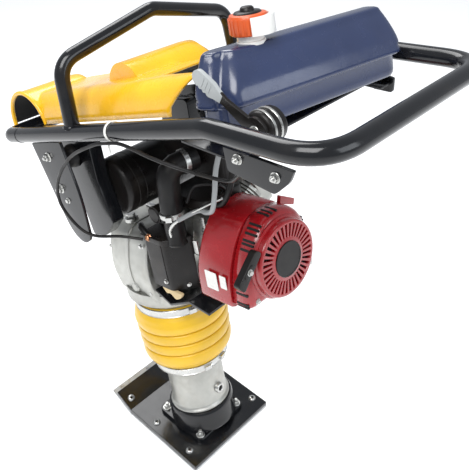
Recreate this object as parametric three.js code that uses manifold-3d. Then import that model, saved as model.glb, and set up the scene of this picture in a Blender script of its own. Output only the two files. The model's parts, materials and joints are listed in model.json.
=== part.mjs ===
// Jumping jack rammer: an upright tamping rammer with a single-cylinder petrol engine.
// Millimetres. +X is the direction of travel, +Y the machine's left, +Z up.
// Origin: centre of the foot's flat sole. The whole machine leans forward on its foot,
// so everything above the sole is built in a leg frame whose +Z runs up the leg.
import * as THREE from 'three';
import { mergeVertices } from 'three/addons/utils/BufferGeometryUtils.js';
import Module from 'manifold-3d';

const wasm = await Module();
wasm.setup();

// ---------- driving dimensions ----------
const GAP = 0.3; // between pieces that touch
const LEAN = THREE.MathUtils.degToRad(11); // leg leans forward by this much
const LEG_X = -25; // where the leg axis meets the ground

const SOLE = { half: 120, width: 250, steel: 7, block: 11, lip: 73, lipAngle: THREE.MathUtils.degToRad(25) };
const LEG = { r: 66.5, plugR: 64, rimR: 72, rimZ: 79, topZ: 226, seatR: 79.5, bore: 44 };
const SPRING_TUBE = { r: 52, top: 330 };
const BOOT = { z0: 204, z1: 395, wall: 3.6 };
const NECK_R = 91.5;
const GEAR = { z: 499, teeth: 40, module: 3.2, x0: 20, x1: 40 };
const PINION_TEETH = 10;
const CRANK_R = 24; // crank throw: the piston travels twice this
const PINION_Z = GEAR.z + (GEAR.module * (GEAR.teeth + PINION_TEETH)) / 2;
const WRIST_Z = 364;
const ENGINE_Z = PINION_Z; // engine shaft is in line with the pinion
const RAIL = { r: 15, y: 203, slope: THREE.MathUtils.degToRad(9.5), z: 842, bendS: 449, rear: 192,
  rearRise: THREE.MathUtils.degToRad(7) };
const RAIL_FRONT = 165; // front bar, measured along the rail from the leg axis
const SEAM = 105; // weld between the handle tube and the front bar
const HOOP_R = 13;
const DRUM = { x: -5, z: 690, r: 60, y0: -80, y1: 105 };

// ---------- materials ----------
const paint = (name, color, roughness, metalness = 0) =>
  new THREE.MeshStandardMaterial({ name, color, roughness, metalness });
const mats = {
  steel: paint('steel', 0x9aa0a6, 0.35, 1),
  darkSteel: paint('dark_steel', 0x4c5054, 0.45, 1),
  black: paint('black_paint', 0x15171a, 0.35, 0.2),
  alloy: paint('cast_alloy', 0xa9aba8, 0.5, 0.8),
  rubber: paint('rubber', 0x17181a, 0.8),
  yellowRubber: paint('yellow_rubber', 0xe8b21a, 0.5),
  yellow: paint('yellow_plastic', 0xf7b51c, 0.35),
  red: paint('red_paint', 0xa5161c, 0.35, 0.1),
  blue: paint('blue_plastic', 0x2b3a66, 0.35),
  orange: paint('orange_plastic', 0xd8481e, 0.4),
  white: paint('white_plastic', 0xe6e4de, 0.5),
  blackPlastic: paint('black_plastic', 0x1b1c1e, 0.45),
  grey: paint('grey_plastic', 0x8f9594, 0.5),
  copper: paint('copper', 0xb98358, 0.45, 0.8),
  paper: paint('filter_paper', 0xcbb583, 0.9),
};

// ---------- geometry helpers ----------
function toManifold(geometry) {
  const g = geometry.clone();
  g.deleteAttribute('normal');
  g.deleteAttribute('uv');
  const merged = mergeVertices(g, 1e-4);
  const mesh = new wasm.Mesh({
    numProp: 3,
    vertProperties: new Float32Array(merged.attributes.position.array),
    triVerts: new Uint32Array(merged.index.array),
  });
  return new wasm.Manifold(mesh);
}

function fromManifold(solid) {
  const mesh = solid.getMesh();
  const g = new THREE.BufferGeometry();
  const stride = mesh.numProp;
  const count = mesh.vertProperties.length / stride;
  const position = new Float32Array(count * 3);
  for (let i = 0; i < count; i++) {
    for (let k = 0; k < 3; k++) position[3 * i + k] = mesh.vertProperties[stride * i + k];
  }
  g.setAttribute('position', new THREE.BufferAttribute(position, 3));
  g.setIndex(new THREE.BufferAttribute(new Uint32Array(mesh.triVerts), 1));
  g.computeVertexNormals();
  return g;
}

const union = (...list) => fromManifold(list.map(toManifold).reduce((a, b) => a.add(b)));
const cut = (base, ...tools) => {
  const result = tools.reduce((a, t) => a.subtract(toManifold(t)), toManifold(base));
  return fromManifold(result);
};

// A box from its lowest to its highest corner.
function block(x0, x1, y0, y1, z0, z1) {
  const g = new THREE.BoxGeometry(x1 - x0, y1 - y0, z1 - z0);
  g.translate((x0 + x1) / 2, (y0 + y1) / 2, (z0 + z1) / 2);
  return g;
}

const spin = {
  x: (g) => g.rotateZ(-Math.PI / 2), // lathe axis to +X
  y: (g) => g,
  z: (g) => g.rotateX(Math.PI / 2), // lathe axis to +Z
};

// Solid of revolution: profile points are [radius, height along the axis].
function turned(axis, points, segments = 28) {
  const g = new THREE.LatheGeometry(points.map(([r, h]) => new THREE.Vector2(r, h)), segments);
  return spin[axis](g);
}

const rod = (axis, r, h0, h1, segments = 20) =>
  turned(axis, [[0, h0], [r, h0], [r, h1], [0, h1]], segments);
const ring = (axis, r0, r1, h0, h1, segments = 28) =>
  turned(axis, [[r0, h0], [r1, h0], [r1, h1], [r0, h1], [r0, h0]], segments);

// An outline in the x-z plane, extruded along y from y0 to y1.
function sideExtrude(points, y0, y1) {
  const corners = () => points.map(([x, z]) => new THREE.Vector2(x, z));
  const shape = Array.isArray(points) ? new THREE.Shape(corners()) : points;
  const g = new THREE.ExtrudeGeometry(shape, { depth: y1 - y0, bevelEnabled: false, curveSegments: 6 });
  g.rotateX(Math.PI / 2);
  g.translate(0, y1, 0);
  return g;
}

// An outline in the y-z plane, extruded along x from x0 to x1.
function frontExtrude(shape, x0, x1, curveSegments = 8) {
  const g = new THREE.ExtrudeGeometry(shape, { depth: x1 - x0, bevelEnabled: false, curveSegments });
  g.applyMatrix4(new THREE.Matrix4().makeBasis(
    new THREE.Vector3(0, 1, 0), new THREE.Vector3(0, 0, 1), new THREE.Vector3(1, 0, 0)));
  g.translate(x0, 0, 0);
  return g;
}

// A flat outline in the x-y plane, extruded up from z0 to z1.
function planExtrude(shape, z0, z1, curveSegments = 6) {
  const g = new THREE.ExtrudeGeometry(shape, { depth: z1 - z0, bevelEnabled: false, curveSegments });
  g.translate(0, 0, z0);
  return g;
}

// Closed outline through corner points, each corner rounded by its own radius.
function roundedOutline(corners, radius) {
  const shape = new THREE.Shape();
  const n = corners.length;
  const at = (i) => new THREE.Vector2(...corners[(i + n) % n].slice(0, 2));
  for (let i = 0; i < n; i++) {
    const here = at(i);
    const r = corners[i][2] ?? radius;
    const toPrev = at(i - 1).sub(here);
    const toNext = at(i + 1).sub(here);
    const a = here.clone().add(toPrev.clone().setLength(Math.min(r, toPrev.length() * 0.48)));
    const b = here.clone().add(toNext.clone().setLength(Math.min(r, toNext.length() * 0.48)));
    if (i === 0) shape.moveTo(a.x, a.y);
    else shape.lineTo(a.x, a.y);
    if (r > 0) shape.quadraticCurveTo(here.x, here.y, b.x, b.y);
  }
  shape.closePath();
  return shape;
}

// A closed solid through outlines with the same number of points, one above another.
function loft(layers) {
  const rows = layers.map(({ shape, z }) => shape.getPoints(4).slice(0, -1).map((p) => [p.x, p.y, z]));
  const count = rows[0].length;
  const position = rows.flat(2);
  const index = [];
  for (let k = 0; k < rows.length - 1; k++) {
    for (let i = 0; i < count; i++) {
      const j = (i + 1) % count;
      const [a, b, c, d] = [k * count + i, k * count + j, (k + 1) * count + j, (k + 1) * count + i];
      index.push(a, b, c, a, c, d);
    }
  }
  const outline = (k) => rows[k].map(([x, y]) => new THREE.Vector2(x, y));
  const last = (rows.length - 1) * count;
  for (const [a, b, c] of THREE.ShapeUtils.triangulateShape(outline(0), [])) index.push(a, c, b);
  for (const [a, b, c] of THREE.ShapeUtils.triangulateShape(outline(rows.length - 1), [])) {
    index.push(last + a, last + b, last + c);
  }
  const g = new THREE.BufferGeometry();
  g.setAttribute('position', new THREE.BufferAttribute(new Float32Array(position), 3));
  g.setIndex(index);
  g.computeVertexNormals();
  return g;
}

function circlePath(x, y, r) {
  const path = new THREE.Path();
  path.absarc(x, y, r, 0, Math.PI * 2, true);
  return path;
}

function regularOutline(r, sides) {
  const points = [];
  for (let i = 0; i < sides; i++) {
    const a = (2 * Math.PI * i) / sides;
    points.push(new THREE.Vector2(r * Math.cos(a), r * Math.sin(a)));
  }
  return new THREE.Shape(points);
}

// A run of points joined by straight pieces; a bar swept along it gets one section per point.
class Run extends THREE.Curve {
  constructor(points) {
    super();
    this.points = points.map((p) => new THREE.Vector3(...p));
  }
  getPoint(t) {
    const last = this.points.length - 1;
    const i = Math.min(Math.floor(t * last), last - 1);
    return this.points[i].clone().lerp(this.points[i + 1], t * last - i);
  }
  getPointAt(t) {
    return this.getPoint(t);
  }
  getTangentAt(t) {
    const last = this.points.length - 1;
    const i = Math.round(t * last);
    const ahead = this.points[Math.min(i + 1, last)];
    return ahead.clone().sub(this.points[Math.max(i - 1, 0)]).normalize();
  }
}

// Straight runs between the given corners, each corner bent to the radius.
function bentRun(corners, radius, steps = 5) {
  const v = corners.map((p) => new THREE.Vector3(...p));
  const points = [corners[0]];
  for (let i = 1; i < v.length - 1; i++) {
    const back = v[i - 1].clone().sub(v[i]);
    const ahead = v[i + 1].clone().sub(v[i]);
    const wanted = radius / Math.tan(back.angleTo(ahead) / 2);
    const trim = Math.min(wanted, back.length() * 0.48, ahead.length() * 0.48);
    const bend = new THREE.QuadraticBezierCurve3(v[i].clone().add(back.setLength(trim)), v[i],
      v[i].clone().add(ahead.setLength(trim)));
    points.push(...bend.getPoints(steps).map((p) => p.toArray()));
  }
  points.push(corners[corners.length - 1]);
  return new Run(points);
}

// A round bar or hose along a run.
function tube(run, r, sides = 10) {
  const steps = run.points.length - 1;
  const options = { steps, extrudePath: run, bevelEnabled: false };
  return new THREE.ExtrudeGeometry(regularOutline(r, sides), options);
}

function smoothRun(points, count) {
  const curve = new THREE.CatmullRomCurve3(points.map((p) => new THREE.Vector3(...p)), false, 'centripetal');
  return new Run(curve.getSpacedPoints(count).map((p) => p.toArray()));
}

function helix(r, wire, z0, z1, turns) {
  const points = [];
  const steps = Math.round(turns * 8);
  for (let i = 0; i <= steps; i++) {
    const a = (2 * Math.PI * turns * i) / steps;
    points.push([r * Math.cos(a), r * Math.sin(a), z0 + wire + ((z1 - z0 - 2 * wire) * i) / steps]);
  }
  return tube(new Run(points), wire, 5);
}

// Gear outline: straight-sided teeth with running clearance; a tooth is centred on the phase angle.
function gearOutline(teeth, module, phase) {
  const pitch = (teeth * module) / 2;
  const root = pitch - 1.2 * module;
  const tip = pitch + 0.8 * module;
  const points = [];
  for (let i = 0; i < teeth; i++) {
    const centre = phase + (2 * Math.PI * i) / teeth;
    const step = (2 * Math.PI) / teeth;
    for (const [r, w] of [[root, -0.34], [tip, -0.13], [tip, 0.13], [root, 0.34]]) {
      const a = centre + w * step;
      points.push(new THREE.Vector2(r * Math.cos(a), r * Math.sin(a)));
    }
  }
  return new THREE.Shape(points);
}

function gear(teeth, module, phase, x0, x1, z) {
  const g = frontExtrude(gearOutline(teeth, module, phase), x0, x1);
  g.translate(0, 0, z);
  return g;
}

const root = new THREE.Group();
const leg = new THREE.Group(); // the leaning frame
leg.position.set(LEG_X, 0, 0);
leg.rotation.y = LEAN;
root.add(leg);

function add(name, geometry, material, parent = leg) {
  const mesh = new THREE.Mesh(geometry, material);
  mesh.name = name;
  parent.add(mesh);
  return mesh;
}

// ---------- foot ----------
// Side view of one layer of the foot: flat, then a lip that turns up at the front.
function footOutline(zLow, zHigh, lip) {
  const bend = (z) => [SOLE.half - z * Math.tan(SOLE.lipAngle / 2), z];
  const end = (z) => [bend(z)[0] + lip * Math.cos(SOLE.lipAngle), z + lip * Math.sin(SOLE.lipAngle)];
  return [[-SOLE.half, zLow], bend(zLow), end(zLow), end(zHigh), bend(zHigh), [-SOLE.half, zHigh]];
}

function buildFoot() {
  const half = SOLE.width / 2;
  const top = SOLE.steel + GAP + SOLE.block;
  add('sole_plate', sideExtrude(footOutline(0, SOLE.steel, SOLE.lip), -half, half), mats.steel, root);
  add('sole_block', sideExtrude(footOutline(SOLE.steel + GAP, top, SOLE.lip - 16), -half + 1, half - 1),
    mats.black, root);

  const flangeShape = roundedOutline([[-86, -76], [62, -76], [62, 76], [-86, 76]], 16);
  const plate = planExtrude(flangeShape, top + GAP, top + 12);
  const socket = rod('z', 80, 20, 60, 24);
  const collar = turned('z', [[0, 55], [79, 55], [76.5, LEG.rimZ - GAP], [0, LEG.rimZ - GAP]], 24);
  const bore = rod('z', LEG.plugR + GAP, 45 - GAP, 120, 24);
  const place = new THREE.Matrix4().makeRotationY(LEAN).setPosition(LEG_X, 0, 0);
  for (const g of [socket, collar, bore]) g.applyMatrix4(place);
  const under = block(-200, 200, -200, 200, -50, top + GAP);
  add('leg_socket', cut(union(plate, socket, collar), bore, under), mats.black, root);
}

// ---------- lower leg ----------
function buildLowerLeg() {
  add('lower_cylinder', turned('z', [
    [0, 45], [LEG.plugR, 45], [LEG.plugR, LEG.rimZ], [LEG.rimR, LEG.rimZ], [LEG.rimR, LEG.rimZ + 5],
    [LEG.r, LEG.rimZ + 9], [LEG.r, 192], [LEG.seatR, 198], [LEG.seatR, LEG.topZ],
    [SPRING_TUBE.r, LEG.topZ], [SPRING_TUBE.r, SPRING_TUBE.top], [LEG.bore, SPRING_TUBE.top],
    [LEG.bore, 60], [0, 60]], 24), mats.alloy);
  add('spring_tube_cap', ring('z', 13, SPRING_TUBE.r, SPRING_TUBE.top + GAP, 338, 24), mats.darkSteel);
  add('lower_spring', helix(34, 4.5, 60.6, 194, 6), mats.darkSteel);
  add('upper_spring', helix(34, 4.5, 210, 329, 6), mats.darkSteel);
  const plug = rod('x', 13, LEG.r + 0.2, LEG.r + 8, 16);
  plug.rotateZ(Math.PI + 0.12);
  plug.translate(0, 0, 122);
  add('drain_plug', plug, mats.steel);
  const lowR = LEG.seatR + BOOT.wall;
  add('lower_band', ring('z', lowR + 2 * GAP, lowR + 2.6, 206, 223, 24), mats.steel);
}

// The boot's outer outline is four rounded lobes that widen upwards between two plain cuffs.
function bootProfile() {
  const low = LEG.seatR + GAP + BOOT.wall;
  const high = NECK_R + GAP + BOOT.wall;
  return [
    [low, BOOT.z0], [low, 225], [98, 236], [104, 254], [99, 273], [105.5, 287], [100, 301],
    [106.5, 315], [101, 329], [108, 347], [102, 367], [high, 374], [high, BOOT.z1],
  ];
}

function buildBoot() {
  const outer = bootProfile();
  const inner = outer.map(([r, z]) => [r - BOOT.wall, z]).reverse();
  add('bellows_boot', turned('z', [...outer, ...inner, outer[0]], 24), mats.yellowRubber);
}

// ---------- ramming gear inside the leg ----------
function buildPiston() {
  const crosshead = rod('z', 28, 340, 380, 16);
  const stem = rod('z', 12, 205, 346, 16);
  const head = rod('z', LEG.bore - 0.6, 195.5, 208.5, 24);
  const slot = block(-9.5, 9.5, -40, 40, 349, 400);
  const pinHole = rod('x', 8 + GAP, -40, 40, 16);
  pinHole.translate(0, 0, WRIST_Z);
  // The rod's small end turns below the pin inside the slot.
  add('ram_piston', cut(union(crosshead, stem, head), slot, pinHole), mats.steel);
  const wrist = rod('x', 8, -24, 24, 16);
  wrist.translate(0, 0, WRIST_Z);
  add('wrist_pin', wrist, mats.steel);

  const bigZ = GEAR.z - CRANK_R;
  const rodShape = new THREE.Shape();
  rodShape.absarc(0, WRIST_Z, 9.8 + 3, Math.PI, 2 * Math.PI, false);
  rodShape.lineTo(9, WRIST_Z + 20);
  rodShape.lineTo(9, bigZ - 16);
  rodShape.absarc(0, bigZ, 17, -0.8, Math.PI + 0.8, false);
  rodShape.lineTo(-9, bigZ - 16);
  rodShape.lineTo(-9, WRIST_Z + 20);
  rodShape.holes.push(circlePath(0, WRIST_Z, 8.5), circlePath(0, bigZ, 10));
  add('connecting_rod', frontExtrude(rodShape, -9, 9, 5), mats.steel);
}

function buildGearbox() {
  add('guide_tube', turned('z', [
    [SPRING_TUBE.r + 0.5, LEG.topZ + 0.5], [60, LEG.topZ + 0.5], [60, 366], [NECK_R, 371], [NECK_R, 398],
    [SPRING_TUBE.r + 0.5, 398], [SPRING_TUBE.r + 0.5, LEG.topZ + 0.5]], 24), mats.alloy);
  const highR = NECK_R + BOOT.wall;
  add('upper_band', ring('z', highR + 2 * GAP, highR + 2.6, 375, 393, 24), mats.steel);

  const z0 = 398 + GAP;
  const neck = turned('z', [[0, z0], [95, z0], [112, 411], [112, 416], [0, 416]], 24);
  const caseShape = roundedOutline([[-96, 412, 30], [96, 412, 30], [112, 500, 30], [88, 592, 30],
    [-88, 592, 30],
    [-112, 500, 30]], 30);
  const box = frontExtrude(caseShape, -62, 62, 4);
  const gearRoom = rod('x', 70, -40, 63, 24);
  gearRoom.translate(0, 0, GEAR.z);
  const pinionRoom = rod('x', 23, -40, 55, 16);
  pinionRoom.translate(0, 0, PINION_Z);
  const shaftHole = rod('x', 12, -96, -30, 16);
  shaftHole.translate(0, 0, PINION_Z);
  const throat = rod('z', 40, 380, 460, 20);
  add('crankcase_body', cut(union(neck, box), gearRoom, pinionRoom, shaftHole, throat), mats.alloy);

  const room = rod('x', 68, 62, 90, 24);
  const coverOuter = turned('x', [[0, 62 + GAP], [86, 62 + GAP], [86, 76], [80, 104],
    [68, 120], [40, 128], [0, 128]], 28);
  const seat = rod('x', 30, 85, 120, 20);
  seat.translate(0, 0, -4);
  const front = cut(coverOuter, room, seat);
  front.translate(0, 0, GEAR.z + 4);
  add('crankcase_cover', front, mats.alloy);

  const toGearPhase = Math.PI / 2; // the teeth meet on the line between the two shafts
  const crankPin = rod('x', 9.5, 9 + 2 * GAP, GEAR.x0 + 1, 16);
  crankPin.translate(0, 0, GEAR.z - CRANK_R);
  const wheel = gear(GEAR.teeth, GEAR.module, toGearPhase, GEAR.x0, GEAR.x1, GEAR.z);
  add('crank_gear', union(wheel, crankPin), mats.darkSteel);
  const crankShaft = rod('x', 14, GEAR.x1 + GAP, 118, 20);
  crankShaft.translate(0, 0, GEAR.z);
  add('crank_shaft', crankShaft, mats.steel);
  const crankBearing = ring('x', 14.8, 29.6, 97, 117, 20);
  crankBearing.translate(0, 0, GEAR.z);
  add('crank_bearing', crankBearing, mats.steel);

  const gapPhase = -Math.PI / 2 + Math.PI / PINION_TEETH;
  const pinionShaft = rod('x', 9.5, -118, GEAR.x0 + 1, 16);
  pinionShaft.translate(0, 0, PINION_Z);
  const pinion = gear(PINION_TEETH, GEAR.module, gapPhase, GEAR.x0, GEAR.x1, PINION_Z);
  add('pinion_shaft', union(pinion, pinionShaft), mats.steel);
  const drum = turned('x', [[0, -118 - GAP], [40, -118 - GAP], [40, -150],
    [36.5, -150], [36.5, -124], [0, -124]].reverse(), 24);
  drum.translate(0, 0, PINION_Z);
  add('clutch_drum', drum, mats.darkSteel);
  const housing = ring('x', 43, 53, -165, -62 - GAP, 24);
  housing.translate(0, 0, PINION_Z);
  add('clutch_housing', housing, mats.alloy);
}

// ---------- engine ----------
const ENGINE = { front: -165, shroud0: -215, shroud1: -300, recoil1: -345, grille: -362 };
// Rear view of the cooling shroud about the shaft: wide at the mounting corners, narrow over the head.
const SHROUD_CORNERS = [[-98, -74, 12], [98, -74, 12], [96, -10, 30], [66, 50, 20],
  [34, 84, 14], [-40, 88, 16], [-78, 56, 30], [-96, -6, 30]];
const shroudOutline = (scale) =>
  roundedOutline(SHROUD_CORNERS.map(([y, z, r]) => [y * scale, ENGINE_Z + z * scale, r * scale]), 20);
const RECOIL_CORNERS = [[-94, -68, 12], [94, -68, 12], [88, -8, 34], [58, 54, 30],
  [20, 88, 20], [-36, 88, 24], [-74, 60, 34], [-90, -8, 34]];
const recoilOutline = (scale) =>
  roundedOutline(RECOIL_CORNERS.map(([y, z, r]) => [y * scale, ENGINE_Z + z * scale, r * scale]), 20);

function onShaft(g) {
  g.translate(0, 0, ENGINE_Z);
  return g;
}

function buildEngine() {
  const shaftBore = onShaft(rod('x', 13, -400, 0, 16));
  const blockShape = roundedOutline([[-78, 512], [46, 512], [46, 636], [-50, 650]], 18);
  add('engine_block', cut(frontExtrude(blockShape, -252, ENGINE.front - GAP, 4), shaftBore), mats.alloy);
  add('engine_crankshaft', onShaft(turned('x', [[0, -330], [12, -330], [12, -148],
    [34, -148], [34, -126], [0, -126]], 20)),
    mats.steel);

  const wheel = onShaft(ring('x', 12 + GAP, 66, -275, -262, 28));
  const blades = [];
  for (let i = 0; i < 12; i++) {
    const blade = block(-292, -274, -1.5, 1.5, 34, 62);
    blade.rotateX((i * Math.PI) / 6);
    blades.push(onShaft(blade));
  }
  add('flywheel_fan', union(wheel, ...blades), mats.alloy);

  const shroudSkin = frontExtrude(shroudOutline(1), ENGINE.shroud1, ENGINE.shroud0, 4);
  const shroudRoom = frontExtrude(shroudOutline(0.95), ENGINE.shroud1 - 5, ENGINE.shroud0 + 5, 4);
  add('cooling_shroud', cut(shroudSkin, shroudRoom), mats.red);

  const skin = frontExtrude(recoilOutline(1), ENGINE.recoil1, ENGINE.shroud1 - GAP, 4);
  const drumSkin = onShaft(rod('x', 74, ENGINE.grille, ENGINE.recoil1 + 2, 36));
  const room = frontExtrude(recoilOutline(0.95), ENGINE.recoil1 + 4, ENGINE.shroud1 + 5, 4);
  const drumRoom = onShaft(rod('x', 70, ENGINE.grille + 4, ENGINE.recoil1 + 6, 24));
  const slots = [];
  for (let i = 0; i < 20; i++) {
    const slot = block(ENGINE.grille - 2, ENGINE.grille + 6, -2.2, 2.2, 42, 66);
    slot.rotateX((i * Math.PI) / 10);
    slots.push(onShaft(slot));
  }
  add('recoil_housing', cut(union(skin, drumSkin), room, drumRoom, ...slots), mats.red);
  const grip = frontExtrude(roundedOutline([[58, 630], [70, 638], [124, 574], [109, 558]], 5),
    -363, ENGINE.recoil1 - GAP, 4);
  add('recoil_grip', grip, mats.blackPlastic);

  buildCylinder();
  buildCarburettor();
  const plate = block(-98, 78, 14, 96, 0, 6);
  plate.translate(-147, -14, 458);
  add('engine_cradle', plate, mats.black);
}

// The cylinder lies over to the machine's right, out of the shroud's side.
function buildCylinder() {
  const tilt = THREE.MathUtils.degToRad(-62);
  const place = (g) => {
    g.rotateX(-tilt);
    g.translate(-170, -52, ENGINE_Z + 22);
    return g;
  };
  const fins = [[0, 24]];
  for (let i = 0; i < 4; i++)
    fins.push([42, 24 + 7 * i], [42, 27 + 7 * i], [34, 27 + 7 * i], [34, 31 + 7 * i]);
  fins.push([42, 52], [42, 59], [0, 59]);
  add('cylinder_barrel', place(turned('z', fins, 16)), mats.alloy);
  const head = roundedOutline([[-40, -40], [40, -40], [40, 40], [-40, 40]], 14);
  add('cylinder_head', place(planExtrude(head, 59 + GAP, 80)), mats.alloy);
  const cover = roundedOutline([[-38, -33], [38, -33], [38, 33], [-38, 33]], 14);
  add('valve_cover', place(planExtrude(cover, 80 + GAP, 98)), mats.steel);
  add('spark_plug', place(rod('y', 7, 42, 78, 12).translate(0, 0, 68)), mats.white);
  const muffler = roundedOutline([[-46, 0], [40, 0], [40, 56], [-46, 56]], 16);
  add('muffler', frontExtrude(muffler, -125, -60).translate(0, -170, ENGINE_Z - 85), mats.darkSteel);
}

function buildCarburettor() {
  // A moulded cover with a sloping rear side, over the carburettor.
  const outline = roundedOutline([[-70, 58], [-70, 102], [-131, 102], [-172, 58]], 8);
  const stub = rod('z', 20, 590, 646, 20);
  stub.translate(-148, 76, 0);
  add('carburettor_cover', union(planExtrude(outline, 486, 600, 3), stub), mats.blackPlastic);
  const elbow = bentRun([[-148, 76, 648], [-154, 72, 749], [-168, 12, 749]], 34, 7);
  add('intake_elbow', tube(elbow, 22, 14), mats.rubber);
  const choke = block(-6, 6, 0, 4, -22, 8);
  choke.translate(-186, 62, 592);
  add('choke_lever', choke, mats.steel);
}

// ---------- air cleaner ----------
function buildAirCleaner() {
  const at = (g) => {
    g.translate(DRUM.x, 0, DRUM.z);
    return g;
  };
  const cup = turned('y', [[0, DRUM.y1], [DRUM.r - 6, DRUM.y1], [DRUM.r, DRUM.y1 - 6], [DRUM.r, DRUM.y0],
    [DRUM.r - 3, DRUM.y0], [DRUM.r - 3, DRUM.y1 - 4], [0, DRUM.y1 - 4]].reverse(), 32);
  const window = block(-80, -30, -34, 4, -16, 46);
  add('air_drum', cut(at(cup), at(window)), mats.blackPlastic);
  add('air_drum_lid', at(turned('y', [[0, DRUM.y0 - 20], [DRUM.r - 8, DRUM.y0 - 20], [DRUM.r, DRUM.y0 - 12],
    [DRUM.r, DRUM.y0 - GAP], [0, DRUM.y0 - GAP]], 32)), mats.blackPlastic);
  add('air_filter', at(ring('y', 24, 44, DRUM.y0 + 2, DRUM.y1 - 8, 24)), mats.paper);
  const boxShape = roundedOutline([[-238, 700], [-238, 778], [-160, 790], [-68, 778],
    [-68, 742], [-150, 700]], 10);
  add('air_box', sideExtrude(boxShape, -62, 5), mats.blackPlastic);
}

// ---------- handle ----------
// A point on a side rail: s along the rail from the leg axis, forward positive.
function railPoint(s, y, lift = 0) {
  const c = Math.cos(RAIL.slope);
  const n = Math.sin(RAIL.slope);
  return [s * c + lift * n, y, RAIL.z - s * n + lift * c];
}

function buildHandle() {
  const bendNear = railPoint(-RAIL.bendS, RAIL.y);
  const rearAngle = LEAN - RAIL.rearRise;
  const rear = (y) => [bendNear[0] - RAIL.rear * Math.cos(rearAngle), y,
    bendNear[2] - RAIL.rear * Math.sin(rearAngle)];
  const bar = bentRun([railPoint(SEAM - GAP, RAIL.y), bendNear, rear(RAIL.y), rear(-RAIL.y),
    railPoint(-RAIL.bendS, -RAIL.y), railPoint(SEAM - GAP, -RAIL.y)], 70);
  add('handle_tube', tube(bar, RAIL.r, 12), mats.black);
  const front = bentRun([railPoint(SEAM, RAIL.y), railPoint(RAIL_FRONT, RAIL.y),
    railPoint(RAIL_FRONT, -RAIL.y), railPoint(SEAM, -RAIL.y)], 45);
  add('front_bar', tube(front, RAIL.r, 12), mats.black);

  const up = new THREE.Vector3(-Math.sin(LEAN), 0, Math.cos(LEAN)); // true vertical in the leg frame
  const ahead = new THREE.Vector3(Math.cos(LEAN), 0, Math.sin(LEAN));
  const hoopAt = (y, rise, fwd) => {
    const base = new THREE.Vector3(...railPoint(-95, 0))
      .addScaledVector(up, rise).addScaledVector(ahead, fwd);
    return [base.x, y, base.z];
  };
  const hoop = bentRun([hoopAt(RAIL.y, 8, 0), hoopAt(196, 118, 23), hoopAt(0, 167, 16),
    hoopAt(-196, 118, 23), hoopAt(-RAIL.y, 8, 0)], 45);
  add('lifting_hoop', cut(tube(hoop, HOOP_R, 10), tube(bar, RAIL.r + GAP, 12)), mats.black);

  for (const [side, name] of [[1, 'left'], [-1, 'right']]) buildSideBrackets(side, name);
  // The left cheek carries the throttle too; the right one is short.
  // The floor between them is under the tank.
  const cheek = roundedOutline([[-450, 886, 3], [-452, 850, 6], [-534, 832, 6],
    [-562, 854, 6], [-572, 872, 3]], 4);
  const shortCheek = roundedOutline([[-440, 884, 3], [-442, 850, 6], [-482, 846, 6], [-486, 872, 3]], 4);
  const tray = [[-450, 865], [-360, 876], [-360, 880], [-450, 869]];
  const tab = [[-480, 861], [-440, 866], [-440, 870], [-480, 865]];
  add('tank_carrier', union(sideExtrude(cheek, 182, 188), sideExtrude(shortCheek, -188, -182),
    sideExtrude(tray, -185, 185), sideExtrude(tab, 150, 185), sideExtrude(tab, -185, -150)), mats.black);
}

function buildSideBrackets(side, name) {
  const spanY = (a, b) => (side > 0 ? [a, b] : [-b, -a]);
  const front = roundedOutline([[108, 801, 4], [-4, 820, 4], [-26, 716, 30], [-24, 618, 14],
    [6, 600, 22], [44, 622, 30]], 6);
  add(`front_bracket_${name}`, sideExtrude(front, ...spanY(182, 188)), mats.black);
  const mount = rod('y', 24, ...spanY(140 + GAP, 182 - GAP), 20);
  mount.translate(48, 0, 766);
  add(`shock_mount_${name}`, mount, mats.rubber);
  const arm = roundedOutline([[88, 802, 14], [-20, 806, 14], [-18, 720, 14], [-38, 636, 6],
    [2, 596, 8], [48, 586, 8]], 10);
  add(`machine_bracket_${name}`, sideExtrude(arm, ...spanY(112, 140)), mats.black);
}

// ---------- tank, cap and throttle ----------
const CAP = { x: -398, y: 52 };

function buildTank() {
  // Corners in plan at the seam, and at the ridge that the long rear side slopes in to.
  const seam = [[-352, 134, 14], [-384, 166, 8], [-412, 160, 8], [-414, 146, 5], [-440, 138, 14],
    [-512, -184, 26], [-410, -184, 20]];
  const ridge = [[-358, 116, 12], [-374, 136, 8], [-390, 126, 6], [-394, 112, 4], [-410, 104, 12],
    [-466, -182, 18], [-440, -180, 8]];
  const lower = seam.map(([x, y, r]) => [-432 + (x + 432) * 0.88, -10 + (y + 10) * 0.955, r]);
  // The sides bulge a little on their way from the seam (0) to the ridge (1).
  const rise = (t) => seam.map((corner, i) => corner.map((v, n) => v + (ridge[i][n] - v) * t ** 1.5));
  const at = (z, corners) => ({ z, shape: roundedOutline(corners, 20) });
  const body = loft([at(883, lower), at(921, lower), at(922, seam), at(930, seam), at(960, rise(0.5)),
    at(982, rise(0.88)), at(992, rise(1))]);
  const neck = rod('z', 21, 985, 1003, 24);
  neck.translate(CAP.x, CAP.y, 0);
  add('fuel_tank', union(body, neck), mats.blue);
  const cap = turned('z', [[0, 1003 + GAP], [30, 1003 + GAP], [30, 1029], [26, 1034], [12, 1035], [10, 1042],
    [0, 1042]], 24);
  cap.translate(CAP.x, CAP.y, 0);
  add('fuel_cap', cap, mats.orange);
}

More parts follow.
